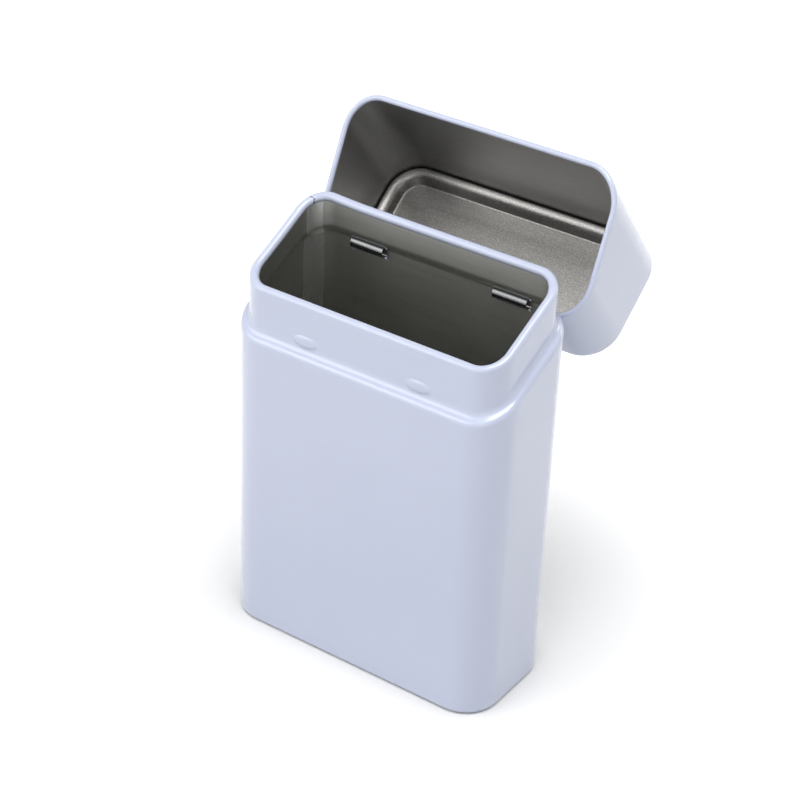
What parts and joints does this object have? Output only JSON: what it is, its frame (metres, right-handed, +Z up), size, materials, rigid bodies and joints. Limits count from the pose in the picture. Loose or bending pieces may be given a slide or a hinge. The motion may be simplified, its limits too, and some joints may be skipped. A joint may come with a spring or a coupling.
{
  "type": "cigarette tin",
  "caption": "Slim upright tin with rounded corners, a stepped neck with a rolled rim, and a slanted flip-top lid hinged at the back, shown open.",
  "frame": {"origin": "on the surface the tin stands on, under the middle of the body", "axes": "+X across the wide front, to the right as seen from the front; the front faces -Y and the hinge is at the back, +Y; +Z is up"},
  "size_m": [0.06, 0.0572, 0.1001],
  "materials": {
    "body_enamel": "satin pale lavender-white enamel outside, bare tinplate inside",
    "bottom_tinplate": "bare tinplate inside, pale enamel outside",
    "lid_enamel": "satin pale lavender-white enamel outside, bare tinplate inside",
    "lid_tinplate": "bare tinplate inside, pale enamel outside"
  },
  "bodies": {
    "body": {"body_wall": "body_enamel", "body_bottom": "bottom_tinplate"},
    "lid": {"lid_wall": "lid_enamel", "lid_top": "lid_tinplate"}
  },
  "joints": [
    {"name": "lid_hinge", "type": "hinge", "parent": "body", "child": "lid", "pos_m": [0, 0.01262, 0.07561], "axis": [1, 0, 0], "range_deg": [0, 140.3]}
  ]
}
